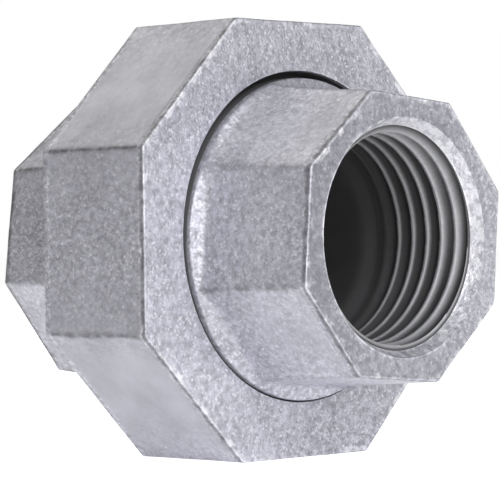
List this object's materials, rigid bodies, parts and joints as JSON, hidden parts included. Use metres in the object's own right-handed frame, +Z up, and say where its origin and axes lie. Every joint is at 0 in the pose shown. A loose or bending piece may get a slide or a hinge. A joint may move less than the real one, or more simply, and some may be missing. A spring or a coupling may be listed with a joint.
{
  "type": "pipe union",
  "caption": "Octagonal galvanised pipe union: a nut on a screwed spigot draws a swivelling tail piece onto a flat gasket, so that two threaded pipes join without turning.",
  "frame": {"origin": "on the pipe's axis, half way between the two mouths", "axes": "+X along the pipe towards the tail piece's mouth, +Z up from the nut flat that the union lies on"},
  "size_m": [0.041, 0.042, 0.042],
  "materials": {
    "galvanised_iron": "hot-dip galvanised casting, matt grey with fine bright grain",
    "gasket_rubber": "black sheet rubber, matt"
  },
  "bodies": {
    "head": {"head_piece": "galvanised_iron"},
    "gasket": {"gasket": "gasket_rubber"},
    "nut": {"union_nut": "galvanised_iron"},
    "tail": {"tail_piece": "galvanised_iron"}
  },
  "joints": [
    {"name": "joint_opens", "type": "slide", "parent": "head", "child": "gasket", "axis": [1, 0, 0], "range_m": [0, 0.0058]},
    {"name": "nut_turn", "type": "hinge", "parent": "gasket", "child": "nut", "pos_m": [0.0003, 0, 0], "axis": [1, 0, 0], "range_deg": [0, 900]},
    {"name": "swivel_turn", "type": "hinge", "parent": "gasket", "child": "tail", "pos_m": [0.0106, 0, 0], "axis": [1, 0, 0], "continuous": true}
  ],
  "couplings": [
    {"joint": "joint_opens", "follows": "nut_turn", "m_per_rad": 0.00036749}
  ]
}
